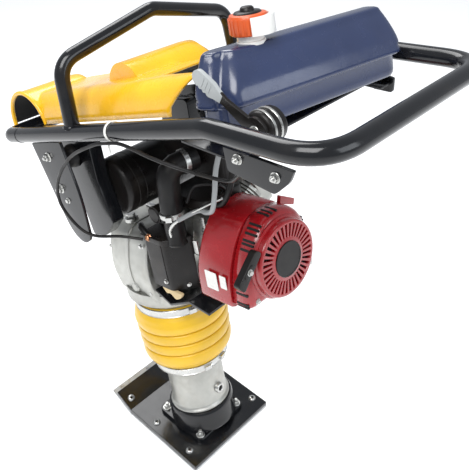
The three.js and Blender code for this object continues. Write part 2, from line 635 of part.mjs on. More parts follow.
const HUB = { x: -497, y: 150, z: 907 };
function buildThrottle() {
  const hub = ring('y', 8, 25, -18, 14, 24);
  hub.translate(HUB.x, HUB.y, HUB.z);
  add('throttle_hub', hub, mats.blackPlastic);
  const angle = THREE.MathUtils.degToRad(35); // lever above the forward direction
  const lever = new THREE.Shape();
  lever.absarc(0, 0, 20, 0.5, 2 * Math.PI - 0.5, false);
  lever.lineTo(70, -7);
  lever.lineTo(84, -12);
  lever.absarc(112, 0, 12, -Math.PI / 2, Math.PI / 2, false);
  lever.lineTo(84, 12);
  lever.lineTo(70, 7);
  const blade = sideExtrude(lever, 0, 6);
  blade.rotateY(-angle);
  blade.translate(HUB.x, HUB.y + 14 + GAP, HUB.z);
  add('throttle_lever', blade, mats.grey);
  const arm = block(-5, 5, -1.5, 1.5, -6, 34);
  arm.translate(-200, 48.2, 612);
  add('governor_arm', arm, mats.steel);
}

// ---------- hood ----------
function buildHood() {
  // A shell over the front of the machine, drawn in the rails' frame: a roof that steps down on the
  // right, a lobe across its front left that is open at the left end, and a rounder lobe further back.
  const wall = 4;
  const roof = (d) => roundedOutline([[-168 + d, 8 - d, 0], [-154 + d, 46 - d, 24], [-6 + d, 46 - d, 8],
    [14 + d, 64 - d, 10], [150 - d, 64 - d, 30], [168 - d, 8 - d, 0]], 0);
  const lobe = (s0, base, halfLength, rise, y0, y1) => {
    const shape = new THREE.Shape();
    shape.absellipse(s0, base, halfLength, rise, 0, Math.PI, false);
    shape.closePath();
    return sideExtrude(shape, y0, y1);
  };
  const outer = frontExtrude(roof(0), -392, 84, 3);
  const inner = frontExtrude(roof(wall), -400, 94, 3);
  const frontLobe = lobe(134, 8, 68, 68, 15, 168);
  const frontRoom = lobe(134, 6, 64, 66, 15 + wall, 180);
  const rearLobe = lobe(-150, 40, 48, 52, -70, 110);
  const rearRoom = lobe(-150, 38, 44, 50, -70 + wall, 110 - wall);
  const tankBay = roundedOutline([[-430, -190], [-290, -190], [-290, 130], [-340, 146], [-430, 146]], 20);
  const bay = planExtrude(tankBay, -60, 120);
  const behind = sideExtrude([[-329, -30], [-329, 6], [-334, 22], [-367, 49], [-392, 66], [-430, 70],
    [-430, -30]],
    -200, 200);
  const barNotch = rod('y', RAIL.r + 2, 0, 60, 16);
  barNotch.translate(RAIL_FRONT, 0, 0);
  const shell = cut(union(outer, frontLobe, rearLobe), inner, frontRoom, rearRoom, bay, behind, barNotch);
  shell.rotateY(RAIL.slope);
  shell.translate(...railPoint(0, 0, 0));
  add('hood', shell, mats.yellow);
}

// ---------- cables and hoses ----------
function buildHoses() {
  const cable = smoothRun([[-470, 176, 856], [-438, 158, 826], [-401, 150, 808], [-357, 186, 832],
    [-309, 204, 849],
    [-252, 214, 866], [-220, 222, 866], [-184, 226, 858], [-106, 228, 824], [-36, 226, 765], [-5, 218, 707],
    [-20, 204, 655], [-38, 184, 630], [-52, 140, 610], [-84, 112, 598]], 36);
  add('throttle_cable', tube(cable, 3, 6), mats.rubber);
  const fuel = smoothRun([[-371.5, 60, 891], [-350, 60, 887], [-335, 60, 868], [-328, 60, 850],
    [-318, 74, 820], [-306, 84, 780], [-302, 92, 740], [-290, 94, 705],
    [-260, 84, 688], [-225, 74, 678], [-190, 96, 660]], 20);
  add('fuel_hose', tube(fuel, 4.5, 6), mats.grey);
}

buildFoot();
buildLowerLeg();
buildBoot();
buildPiston();
buildGearbox();
buildEngine();
buildAirCleaner();
buildHandle();
buildTank();
buildThrottle();
buildHood();
buildHoses();

export default root;
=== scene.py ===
# Jumping jack rammer: the looks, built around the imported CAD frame.
# Builders work in millimetres in the frame's own coordinates; `place` turns them into metres.
import bpy
import bmesh
import json
from math import cos, sin, tan, pi, radians, sqrt
from mathutils import Matrix, Vector


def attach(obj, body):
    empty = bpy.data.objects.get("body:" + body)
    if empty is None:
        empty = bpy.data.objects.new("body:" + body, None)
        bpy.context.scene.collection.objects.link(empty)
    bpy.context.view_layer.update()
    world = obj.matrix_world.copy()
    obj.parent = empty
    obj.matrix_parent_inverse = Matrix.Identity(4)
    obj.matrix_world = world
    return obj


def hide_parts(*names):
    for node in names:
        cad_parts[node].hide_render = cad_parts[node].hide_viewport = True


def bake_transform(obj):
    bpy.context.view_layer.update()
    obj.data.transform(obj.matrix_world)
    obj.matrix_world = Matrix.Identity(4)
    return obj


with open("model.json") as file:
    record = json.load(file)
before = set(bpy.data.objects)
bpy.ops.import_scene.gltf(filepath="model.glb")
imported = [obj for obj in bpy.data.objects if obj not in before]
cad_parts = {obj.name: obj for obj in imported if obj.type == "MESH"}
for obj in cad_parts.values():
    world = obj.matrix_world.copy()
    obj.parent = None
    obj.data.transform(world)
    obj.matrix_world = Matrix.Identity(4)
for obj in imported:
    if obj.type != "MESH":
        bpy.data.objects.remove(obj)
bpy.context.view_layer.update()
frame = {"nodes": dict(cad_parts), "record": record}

# ---------- places ----------
LEAN = radians(11)
LIP_ANGLE = radians(25)
LEG_X = -25
WORLD = Matrix.Scale(0.001, 4)
LEG = Matrix.Translation((LEG_X / 1000, 0, 0)) @ Matrix.Rotation(LEAN, 4, "Y") @ WORLD
RAIL_SLOPE = radians(9.5)
RAIL_Z = 842
RAILS = LEG @ Matrix.Translation((0, 0, RAIL_Z)) @ Matrix.Rotation(RAIL_SLOPE, 4, "Y")
RAIL_Y = 203
RAIL_R = 15
ENGINE_Z = 579
HUB = (-497, 150, 907)
CAP = (-398, 52)
SHAFT = (0, 0, ENGINE_Z)
DRUM = (-5, 0, 690)
CARB = (-148, 76, 0)
COVER = (0, 0, 503)
UP = (0, 0, 1)
ALONG = {
    "x": Matrix.Rotation(pi / 2, 3, "Y"),
    "y": Matrix.Rotation(-pi / 2, 3, "X"),
    "z": Matrix.Identity(3),
}


# ---------- camera ----------
def make_camera():
    data = bpy.data.cameras.new("camera")
    data.sensor_fit = "HORIZONTAL"
    data.sensor_width = 36
    data.lens = 49.4
    data.shift_x = -0.0333
    data.shift_y = -0.1403
    right = Vector((-0.7395, -0.6732, 0))
    up = Vector((0.3458, -0.3799, 0.8581))
    back = Vector((-0.5776, 0.6345, 0.5137))
    camera = bpy.data.objects.new("camera", data)
    turn = Matrix((right, up, back)).transposed().to_4x4()
    camera.matrix_world = Matrix.Translation((-0.8330, 0.7208, 1.3716)) @ turn
    bpy.context.scene.collection.objects.link(camera)
    bpy.context.scene.camera = camera


make_camera()


# ---------- materials ----------
class Nodes:
    """A small wrapper that makes a material and links nodes in plain words."""

    def __init__(self, name):
        self.material = bpy.data.materials.new(name)
        self.material.use_nodes = True
        self.tree = self.material.node_tree
        self.shader = self.tree.nodes["Principled BSDF"]
        self.where = self.add("ShaderNodeTexCoord").outputs["Object"]

    def add(self, kind):
        return self.tree.nodes.new(kind)

    def link(self, a, b):
        self.tree.links.new(a, b)

    def noise(self, scale, detail=4, stretch=None):
        node = self.add("ShaderNodeTexNoise")
        node.inputs["Scale"].default_value = scale
        node.inputs["Detail"].default_value = detail
        where = self.where
        if stretch:
            mapping = self.add("ShaderNodeMapping")
            mapping.inputs["Scale"].default_value = stretch
            self.link(where, mapping.inputs["Vector"])
            where = mapping.outputs["Vector"]
        self.link(where, node.inputs["Vector"])
        return node.outputs["Fac"]

    def between(self, value, low, high, from_low=0.35, from_high=0.65):
        node = self.add("ShaderNodeMapRange")
        node.inputs["From Min"].default_value = from_low
        node.inputs["From Max"].default_value = from_high
        node.inputs["To Min"].default_value = low
        node.inputs["To Max"].default_value = high
        self.link(value, node.inputs["Value"])
        return node.outputs["Result"]

    def times(self, a, b):
        node = self.add("ShaderNodeMath")
        node.operation = "MULTIPLY"
        self.link(a, node.inputs[0])
        self.link(b, node.inputs[1])
        return node.outputs["Value"]

    def blend(self, factor, a, b):
        """Colours a and b are fixed colours or another node's colour output."""
        node = self.add("ShaderNodeMix")
        node.data_type = "RGBA"
        self.link(factor, node.inputs[0])
        for socket, value in ((node.inputs[6], a), (node.inputs[7], b)):
            if isinstance(value, tuple):
                socket.default_value = (*value, 1)
            else:
                self.link(value, socket)
        return node.outputs[2]

    def edges(self, low=0.58, high=0.66):
        """1 on outside edges, 0 on flat places."""
        geometry = self.add("ShaderNodeNewGeometry")
        return self.between(geometry.outputs["Pointiness"], 0, 1, low, high)

    def bump(self, height, strength, distance):
        node = self.add("ShaderNodeBump")
        node.inputs["Strength"].default_value = strength
        node.inputs["Distance"].default_value = distance
        self.link(height, node.inputs["Height"])
        self.link(node.outputs["Normal"], self.shader.inputs["Normal"])


def shade(colour, k):
    """The colour, made lighter or darker."""
    return tuple(min(1, c * k) for c in colour)


def coated(name, colour, rough, spread, grain, coat=0.0, chips=None, dust=0.0, depth=0.0003,
           strength=0.25):
    """Paint, plastic or rubber: mottled, unevenly glossy, grained, with chips or dust if asked."""
    n = Nodes(name)
    tone = n.between(n.noise(9, 5), 0, 1)
    skin = n.blend(tone, shade(colour, 0.88), shade(colour, 1.08))
    if dust:
        settled = n.between(n.noise(22, 5), 0, dust, 0.5, 0.85)
        skin = n.blend(settled, skin, (0.22, 0.17, 0.12))
    if chips:
        worn = n.times(n.edges(), n.between(n.noise(110, 3), 0, 1, 0.56, 0.64))
        skin = n.blend(worn, skin, chips)
        n.link(n.between(worn, 0, 0.85, 0, 1), n.shader.inputs["Metallic"])
    n.link(skin, n.shader.inputs["Base Color"])
    n.link(n.between(n.noise(46, 5), rough - spread, rough + spread), n.shader.inputs["Roughness"])
    n.shader.inputs["Coat Weight"].default_value = coat
    n.shader.inputs["Coat Roughness"].default_value = 0.12
    n.bump(n.noise(grain, 2), strength, depth)
    return n.material


def metal(name, colour, rough, spread, grain, stain=(0.3, 0.27, 0.22), stained=0.12, stretch=None,
          depth=0.0001):
    """Bare metal: brushed or cast grain, uneven polish and a little staining."""
    n = Nodes(name)
    tone = n.between(n.noise(14, 6), 0, 1)
    skin = n.blend(tone, shade(colour, 0.88), shade(colour, 1.08))
    patch = n.between(n.noise(26, 5), 0, stained, 0.52, 0.8)
    n.link(n.blend(patch, skin, stain), n.shader.inputs["Base Color"])
    n.shader.inputs["Metallic"].default_value = 0.92
    n.link(n.between(n.noise(70, 5), rough - spread, rough + spread), n.shader.inputs["Roughness"])
    n.bump(n.noise(grain, 3, stretch), 0.2, depth)
    return n.material


BARE = (0.42, 0.42, 0.42)
M = {
    "wear_steel": metal("wear_steel", (0.50, 0.51, 0.52), 0.36, 0.1, 500, stained=0.5,
                        stretch=(1, 0.1, 1)),
    "black_paint": coated("black_paint", (0.006, 0.0065, 0.008), 0.2, 0.05, 260, coat=0.35, chips=BARE,
                          dust=0.03),
    "cast_alloy": metal("cast_alloy", (0.46, 0.46, 0.43), 0.42, 0.08, 700, stained=0.3, depth=0.0003),
    "steel": metal("steel", (0.48, 0.48, 0.48), 0.32, 0.08, 600),
    "spring_steel": metal("spring_steel", (0.16, 0.16, 0.17), 0.38, 0.08, 500),
    "zinc_steel": metal("zinc_steel", (0.55, 0.55, 0.53), 0.3, 0.08, 500, stained=0.2),
    "yellow_rubber": coated("yellow_rubber", (0.76, 0.46, 0.018), 0.36, 0.07, 420, coat=0.15, dust=0.1),
    "red_paint": coated("red_paint", (0.34, 0.006, 0.010), 0.24, 0.06, 200, coat=0.6, dust=0.06),
    "porcelain": coated("porcelain", (0.80, 0.79, 0.75), 0.25, 0.05, 200, coat=0.4),
    "black_plastic": coated("black_plastic", (0.009, 0.0075, 0.007), 0.34, 0.07, 1300, dust=0.06,
                            strength=0.3),
    "black_rubber": coated("black_rubber", (0.009, 0.0085, 0.0085), 0.4, 0.08, 700, dust=0.07),
    "filter_paper": coated("filter_paper", (0.62, 0.48, 0.27), 0.8, 0.08, 900, dust=0.1),
    "yellow_plastic": coated("yellow_plastic", (0.95, 0.50, 0.01), 0.28, 0.06, 240, coat=0.4,
                             dust=0.05),
    "grey_rubber": coated("grey_rubber", (0.28, 0.29, 0.29), 0.45, 0.08, 600),
    "blue_plastic": coated("blue_plastic", (0.020, 0.032, 0.085), 0.24, 0.05, 320, coat=0.4, dust=0.02),
    "grey_plastic": coated("grey_plastic", (0.40, 0.42, 0.42), 0.42, 0.08, 800, dust=0.1),
    "orange_plastic": coated("orange_plastic", (0.62, 0.09, 0.012), 0.34, 0.06, 500, coat=0.2,
                             dust=0.08),
}
for slot in ("black_plastic", "black_rubber", "black_paint"):
    M[slot].node_tree.nodes["Principled BSDF"].inputs["Specular IOR Level"].default_value = 0.28
# Painted shade: a near-black material put in screw sockets, vent slots, the plug's hollow, behind the
# grille and on the hood's underside, where there is only shade.
PAINTED_SHADE = coated("painted_shade_recess", (0.006, 0.006, 0.006), 0.7, 0.05, 300)
COPPER = metal("copper_bolt", (0.62, 0.30, 0.16), 0.3, 0.08, 500)


# ---------- solids: (points, faces) in millimetres ----------
def joined(*solids):
    points, faces = [], []
    for p, f in solids:
        start = len(points)
        points += p
        faces += [tuple(i + start for i in face) for face in f]
    return points, faces


def moved(solid, matrix):
    return [matrix @ p for p in solid[0]], solid[1]


def aimed(solid, at, direction):
    """Stands a solid built along +z at a point, pointing along a direction."""
    turn = Vector((0, 0, 1)).rotation_difference(Vector(direction)).to_matrix().to_4x4()
    return moved(solid, Matrix.Translation(at) @ turn)


def lathe(profile, axis="z", steps=72, at=(0, 0, 0)):
    """Turns (radius, height) points about an axis; the profile closes on itself or on the axis."""
    points, faces = [], []
    count = len(profile)
    for r, h in profile:
        for i in range(steps):
            a = 2 * pi * i / steps
            points.append(ALONG[axis] @ Vector((r * cos(a), r * sin(a), h)) + Vector(at))
    for k in range(count):
        after = (k + 1) % count
        if profile[k][0] == 0 and profile[after][0] == 0:
            continue
        for i in range(steps):
            j = (i + 1) % steps
            faces.append((k * steps + i, k * steps + j, after * steps + j, after * steps + i))
    return points, faces


def hoop(inner, outer, low, high, axis="z", steps=72, at=(0, 0, 0), soft=0.8):
    """A ring with softened corners."""
    s = min(soft, (outer - inner) / 2.5, (high - low) / 2.5)
    return lathe([(inner, low), (outer - s, low), (outer, low + s), (outer, high - s),
                  (outer - s, high),
                  (inner, high)], axis, steps, at)


def disc(radius, low, high, axis="z", steps=48, at=(0, 0, 0), soft=1.0):
    s = min(soft, radius / 3, (high - low) / 2.5)
    return lathe([(0, low), (radius - s, low), (radius, low + s), (radius, high - s),
                  (radius - s, high),
                  (0, high)], axis, steps, at)


def rounded(corners, radius, steps=6):
    """Corner points, each rounded by its own radius or the given one."""
    outline = []
    count = len(corners)
    for i, corner in enumerate(corners):
        here = Vector(corner[:2])
        r = corner[2] if len(corner) > 2 else radius
        back = Vector(corners[i - 1][:2]) - here
        ahead = Vector(corners[(i + 1) % count][:2]) - here
        a = here + back.normalized() * min(r, back.length * 0.48)
        b = here + ahead.normalized() * min(r, ahead.length * 0.48)
        for k in range(steps + 1):
            t = k / steps
            outline.append(a * (1 - t) ** 2 + here * 2 * t * (1 - t) + b * t * t)
    return outline


def prism(outline, low, high, axis):
    """An outline extruded along an axis: x takes (y, z) points, y takes (x, z), z takes (x, y)."""
    slot = "xyz".index(axis)
    count = len(outline)
    points = []
    for w in (low, high):
        for p in outline:
            place = [p[0], p[1]]
            place.insert(slot, w)
            points.append(Vector(place))
    faces = [tuple(range(count)), tuple(range(2 * count - 1, count - 1, -1))]
    faces += [(i, (i + 1) % count, (i + 1) % count + count, i + count) for i in range(count)]
    return points, faces


def loft(rows, ring=False):
    """A skin through outlines with equal counts of points: capped, or joined into a ring."""
    count = len(rows[0])
    points = sum(rows, [])
    faces = []
    for n in range(len(rows) if ring else len(rows) - 1):
        a, b = n * count, (n + 1) % len(rows) * count
        faces += [(a + i, a + (i + 1) % count, b + (i + 1) % count, b + i) for i in range(count)]
    if not ring:
        faces += [tuple(range(count)), tuple(range(len(points) - 1, len(points) - count - 1, -1))]
    return points, faces


def around(solid, count, axis, at):
    """Copies of a solid, turned evenly about an axis through a point."""
    centre = Matrix.Translation(at)
    return [moved(solid, centre @ Matrix.Rotation(2 * pi * i / count, 4, axis)) for i in range(count)]


def box(x0, x1, y0, y1, z0, z1):
    return prism([(x0, y0), (x1, y0), (x1, y1), (x0, y1)], z0, z1, "z")


def sweep(path, radius, sides=24, closed=False):
    """A round bar along a path; the section never twists."""
    path = [Vector(p) for p in path]
    count = len(path)
    points, faces = [], []
    side = None
    for i, p in enumerate(path):
        ahead = path[(i + 1) % count] if closed or i < count - 1 else p
        back = path[i - 1] if closed or i > 0 else p
        along = (ahead - back).normalized()
        if side is None:
            side = along.orthogonal().normalized()
        side = (side - along * side.dot(along)).normalized()
        other = along.cross(side)
        r = radius(i / (count - 1)) if callable(radius) else radius
        for k in range(sides):
            a = 2 * pi * k / sides
            points.append(p + (side * cos(a) + other * sin(a)) * r)
    for i in range(count if closed else count - 1):
        a, b = i * sides, ((i + 1) % count) * sides
        faces += [(a + k, a + (k + 1) % sides, b + (k + 1) % sides, b + k) for k in range(sides)]
    if not closed:
        faces += [tuple(range(sides - 1, -1, -1)), tuple(range((count - 1) * sides, count * sides))]
    return points, faces


def bent(corners, radius, steps=12):
    """Straight runs with every corner bent to the radius."""
    v = [Vector(p) for p in corners]
    path = [v[0]]
    for i in range(1, len(v) - 1):
        back, ahead = v[i - 1] - v[i], v[i + 1] - v[i]
        angle = back.angle(ahead)
        trim = min(radius / abs(sin(angle / 2) / cos(angle / 2)), back.length * 0.48,
                   ahead.length * 0.48)
        a, b = v[i] + back.normalized() * trim, v[i] + ahead.normalized() * trim
        for k in range(steps + 1):
            t = k / steps
            path.append(a * (1 - t) ** 2 + v[i] * 2 * t * (1 - t) + b * t * t)
    return path + [v[-1]]


def smooth(points, steps=6):
    """A curve through every point."""
    v = [Vector(p) for p in points]
    v = [v[0] * 2 - v[1]] + v + [v[-1] * 2 - v[-2]]
    path = []
    for i in range(1, len(v) - 2):
        for k in range(steps):
            t = k / steps
            path.append(0.5 * (2 * v[i] + (v[i + 1] - v[i - 1]) * t
                               + (2 * v[i - 1] - 5 * v[i] + 4 * v[i + 1] - v[i + 2]) * t * t
                               + (3 * v[i] - v[i - 1] - 3 * v[i + 1] + v[i + 2]) * t ** 3))
    return path + [v[-2]]


def hex_bolt(at, direction, size, stud=0.0):
    """A washer and a chamfered hexagon head, with the stud's end standing out of a nut if asked."""
    washer = hoop(size * 0.3, size * 1.25, 0, size * 0.2, steps=32)
    head = lathe([(0, size * 0.2), (size * 0.95, size * 0.2), (size * 0.95, size * 0.85),
                  (size * 0.8, size),
                  (0, size)], steps=6)
    parts = [washer, head]
    if stud:
        parts.append(disc(size * 0.48, size * 0.5, size + stud, steps=20))
    return aimed(joined(*parts), at, direction)


def cap_screw(at, direction, size):
    """A domed ring head round an open socket; the socket's darkness is a separate painted-shade disc.
    """
    dome = lathe([(size * 0.45, 0), (size * 1.15, 0), (size * 1.1, size * 0.35),
                  (size * 0.8, size * 0.7),
                  (size * 0.5, size * 0.75), (size * 0.45, size * 0.2)], steps=32)
    return aimed(dome, at, direction)


def clamp_screw(azimuth, radius, z, size=5.0):
    """The housing and cross screw of a hose clamp round the leg."""
    housing = box(-size, size * 1.4, -size * 1.6, size * 1.6, -size, size)
    screw = lathe([(0, size * 1.6), (size * 0.9, size * 1.6), (size * 0.9, size * 2.8),
                   (0, size * 2.8)], "y", 6)
    turn = Matrix.Rotation(azimuth, 4, "Z") @ Matrix.Translation((radius, 0, 0))
    return moved(joined(housing, screw), Matrix.Translation((0, 0, z)) @ turn)


# ---------- pieces ----------
def piece(name, solid, material, body, place=LEG, bevel=0.0, sharp=38, node=(), join=None):
    """Makes one smooth-shaded object, softens its hard edges, ties it to its CAD body (with a join,
    only bakes its placement) and hides the CAD nodes it stands for.
    """
    mesh = bpy.data.meshes.new(name)
    mesh.from_pydata([place @ p for p in solid[0]], [], solid[1])
    bm = bmesh.new()
    bm.from_mesh(mesh)
    bmesh.ops.remove_doubles(bm, verts=bm.verts, dist=1e-6)
    bmesh.ops.dissolve_degenerate(bm, edges=bm.edges, dist=1e-6)
    bmesh.ops.recalc_face_normals(bm, faces=bm.faces)
    if bevel:
        hard = [e for e in bm.edges if len(e.link_faces) == 2 and e.calc_face_angle(0) > radians(sharp)]
        bmesh.ops.bevel(bm, geom=hard, offset=bevel / 1000, segments=3, profile=0.6, affect="EDGES",
                        clamp_overlap=True)
    bm.to_mesh(mesh)
    bm.free()
    mesh.shade_smooth()
    mesh.set_sharp_from_angle(angle=radians(sharp))
    mesh.materials.append(material if not isinstance(material, str) else M[material])
    obj = bpy.data.objects.new(name, mesh)
    bpy.context.scene.collection.objects.link(obj)
    if join:
        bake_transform(obj)
    else:
        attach(obj, body)
    if node:
        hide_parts(*([node] if isinstance(node, str) else node))
    return obj


def on(place, point):
    return place @ Vector(point)


# ---------- foot ----------
def foot_outline(low, high, lip):
    """Side view of one layer of the foot: flat, then a lip that turns up at the front."""
    half = 120

    def bend(z):
        return half - z * tan(LIP_ANGLE / 2), z

    def end(z):
        return bend(z)[0] + lip * cos(LIP_ANGLE), z + lip * sin(LIP_ANGLE)

    return [(-half, low), bend(low), end(low), end(high), bend(high), (-half, high)]


def build_foot():
    piece("sole_steel", prism(foot_outline(0, 7, 73), -125, 125, "y"), "wear_steel", "foot", WORLD, 1.2,
          15, "sole_plate")
    piece("sole_filler", prism(foot_outline(7.3, 18.3, 57), -124, 124, "y"), "black_paint", "foot",
          WORLD, 1.5,
          15, "sole_block")
    flange = prism(rounded([(-86, -76), (62, -76), (62, 76), (-86, 76)], 16), 18.6, 30.3, "z")
    cup = moved(lathe([(64.4, 24), (80, 24), (80, 34), (79, 38), (79, 68), (78, 74), (76, 78),
                       (73, 78.6),
                       (64.4, 78.6)], steps=96), WORLD.inverted() @ LEG)
    piece("leg_flange", flange, "black_paint", "foot", WORLD, 2, 30)
    piece("leg_cup", cup, "black_paint", "foot", WORLD, 0, 50, "leg_socket")
    sole_spots = [(39, 105), (-78, 104), (-86, -107), (39, -105)]
    lip_up = (-sin(LIP_ANGLE), 0, cos(LIP_ANGLE))
    rings = [cap_screw((x, y, 18.2), UP, 8) for x, y in sole_spots]
    rings += [cap_screw((138, y, 27), lip_up, 8) for y in (-105, 105)]
    piece("sole_bolts", joined(*rings), "zinc_steel", "foot", WORLD, 0, 50)
    # Painted shade: dark discs set in the screw sockets stand for the shade inside them.
    sockets = [disc(4, 18.3, 19.6, steps=6, at=(x, y, 0)) for x, y in sole_spots]
    sockets += [aimed(disc(4, 0, 1.4, steps=6), (138, y, 27), lip_up) for y in (-105, 105)]
    piece("sole_bolt_socket_shade", joined(*sockets), PAINTED_SHADE, "foot", WORLD, 0, 50)
    nuts = [hex_bolt((x, y, 30.2), UP, 8.5, 7) for x in (-72, 47) for y in (-62, 62)]
    piece("flange_nuts", joined(*nuts), "zinc_steel", "foot", WORLD, 0, 30)


# ---------- leg ----------
def build_leg():
    piece("leg_cylinder", lathe([(0, 46), (64, 46), (64, 79), (71, 79), (72, 80), (72, 83), (71, 84.5),
                                 (67.5, 87),
                                 (66.5, 90), (66.5, 190), (68, 194), (78, 197.5), (79.5, 200),
                                 (79.5, 225),
                                 (52, 226), (52, 330), (44, 330), (44, 60), (0, 60)], steps=112),
          "cast_alloy", "foot", node="lower_cylinder", sharp=45)
    plug_at = (-66.2 * cos(0.12), -66.2 * sin(0.12), 122)
    out = (-cos(0.12), -sin(0.12), 0)
    plug = lathe([(6.5, 0), (13, 0), (13, 3), (12, 7.4), (11, 8.2), (7.4, 8.2), (6.5, 7.4)], steps=36)
    piece("plug_ring", aimed(plug, plug_at, out), "zinc_steel", "foot", node="drain_plug")
    # Painted shade: a dark disc in the plug's hollow stands for the shade inside it.
    piece("plug_hollow_shade", aimed(disc(6.8, 0.5, 4, steps=6), plug_at, out), PAINTED_SHADE, "foot")
    band = joined(hoop(83.7, 85.7, 206, 223, steps=96, soft=0.5), hoop(83.7, 86.6, 206, 208, steps=96),
                  hoop(83.7, 86.6, 221, 223, steps=96), clamp_screw(radians(165), 85.5, 214, 4.6),
                  clamp_screw(radians(195), 85.5, 214, 4.6))
    piece("lower_clamp", band, "zinc_steel", "foot", bevel=0, node="lower_band")
    upper = joined(hoop(95.7, 97.7, 375, 393, steps=96, soft=0.5), hoop(95.7, 98.5, 375, 377, steps=96),
                   hoop(95.7, 98.5, 391, 393, steps=96), clamp_screw(radians(158), 97.5, 384, 4.8))
    piece("upper_clamp", upper, "zinc_steel", "machine", node="upper_band")
    neck = joined(hoop(88, 91.5, 393.4, 397.8, steps=96), hoop(80, 89.5, 397.4, 399.4, steps=96))
    piece("neck_ring", neck, "cast_alloy", "machine")
    build_boot()


def build_boot():
    """The yellow bellows: four wide lobes with narrow grooves between them, and two plain cuffs."""
    outline = [(83.2, 204), (83.6, 206), (83.6, 224), (87, 229), (97, 236)]
    grooves = (274, 302, 330)
    lows = (242, *grooves, 358)
    for i in range(len(lows) - 1):
        base, tip = 99 + 0.9 * i, 104.2 + 1.1 * i
        for k in range(1, 12):
            t = k / 12
            outline.append((base + (tip - base) * sin(pi * t) ** 0.5,
                            lows[i] + (lows[i + 1] - lows[i]) * t))
        if i < len(grooves):
            outline += [(94 + 0.9 * i, lows[i + 1] - 0.8), (94 + 0.9 * i, lows[i + 1] + 0.8)]
    outline += [(103.5, 361), (101, 367), (96.2, 372), (95.2, 375), (95.2, 394), (94.6, 395)]
    inner = [(r - 3.4, z) for r, z in reversed(outline)]
    piece("bellows", lathe(outline + inner, steps=120), "yellow_rubber", "machine", sharp=75,
          node="bellows_boot", join=("foot", "machine", on(LEG, (0, 0, 225)), on(LEG, (0, 0, 372))))


# ---------- gearbox ----------
def build_gearbox():
    corners = [(-96, 412, 30), (96, 412, 30), (112, 500, 34), (88, 592, 34), (-88, 592, 34),
               (-112, 500, 34)]
    case = prism(rounded(corners, 30, 8), -62, 62, "x")
    neck = lathe([(40, 398.3), (94, 398.3), (95, 399), (96, 401), (106, 408), (110, 412), (110, 440),
                  (40, 440)], steps=96)
    piece("gear_case", case, "cast_alloy", "machine", bevel=5, sharp=40, node="crankcase_body")
    piece("gear_case_neck", neck, "cast_alloy", "machine", sharp=50)
    dome = lathe([(0, 62.4), (85, 62.4), (86, 63.4), (86, 75), (84, 80), (80, 102), (76, 108),
                  (68, 119),
                  (60, 122), (42, 127), (36, 128), (0, 128)], "x", 96, COVER)
    ribs = around(box(70, 121, -2.5, 2.5, 28, 74), 8, "X", COVER)
    piece("gear_case_cover", joined(dome, *ribs), "cast_alloy", "machine", bevel=1.2, sharp=40,
          node="crankcase_cover")
    angles = [2 * pi * (i + 0.5) / 8 for i in range(8)]
    bolts = [hex_bolt((75, 79 * cos(a), 503 + 79 * sin(a)), (1, 0, 0), 4.6) for a in angles]
    rims = []
    for x, grow in ((-4, 0.97), (-4, 1.022), (5, 1.022), (5, 0.97)):
        outline = rounded([(y * grow, 500 + (z - 500) * grow, r) for y, z, r in corners], 30, 8)
        rims.append([Vector((x, y, z)) for y, z in outline])
    piece("case_flange", loft(rims, ring=True), "cast_alloy", "machine", bevel=1.5)
    side = []
    for y in (-100, 100):
        side += [hex_bolt((-52, y, z), (0, 1 if y > 0 else -1, 0), 4.6) for z in (452, 566)]
    boss = aimed(disc(12, 0, 12, soft=3), (-2, 96, 453), (0, 1, 0))
    piece("case_boss", boss, "cast_alloy", "machine")
    piece("case_bolts", joined(*bolts, *side), "zinc_steel", "machine", sharp=30)
    spot = (20, 62, 0)
    hexagon = lathe([(0, 599), (10, 599), (10, 606), (0, 606)], "z", 6, spot)
    cap = joined(disc(15, 588, 600, steps=40, at=spot, soft=2), hexagon)
    piece("oil_cap", cap, "zinc_steel", "machine", sharp=35)
    arm = sweep(smooth([(-30, 74, 590), (-44, 84, 606), (-66, 96, 608), (-92, 98, 592)], 8), 7, 20)
    piece("breather_hose", arm, "black_rubber", "machine")
    banjo = joined(disc(6, 0, 5, steps=6), disc(8, -2, 0.5))
    piece("copper_bolt", aimed(banjo, (-92, 104, 600), (0, 1, 0.3)), COPPER, "machine")
    housing = joined(hoop(43, 53, -165, -62.4, "x", 72, SHAFT),
                     hoop(50, 58, -76, -62.4, "x", 72, SHAFT))
    piece("clutch_bell_housing", housing, "cast_alloy", "machine", node="clutch_housing")


# ---------- engine ----------
SHROUD = [(-98, -74, 12), (98, -74, 12), (96, -10, 30), (66, 50, 20), (34, 84, 14), (-40, 88, 16),
          (-78, 56, 30), (-96, -6, 30)]
RECOIL = [(-94, -68, 12), (94, -68, 12), (88, -8, 34), (58, 54, 30), (20, 88, 20), (-36, 88, 24),
          (-74, 60, 34), (-90, -8, 34)]


def about_shaft(corners, scale=1.0, steps=8):
    """A rounded outline in (y, z) about the engine shaft."""
    return rounded([(y * scale, ENGINE_Z + z * scale, r * scale) for y, z, r in corners], 20, steps)


def shell_of(corners, layers):
    """A loft about the engine shaft: layers are (x, scale)."""
    return loft([[Vector((x, y, z)) for y, z in about_shaft(corners, scale)] for x, scale in layers])


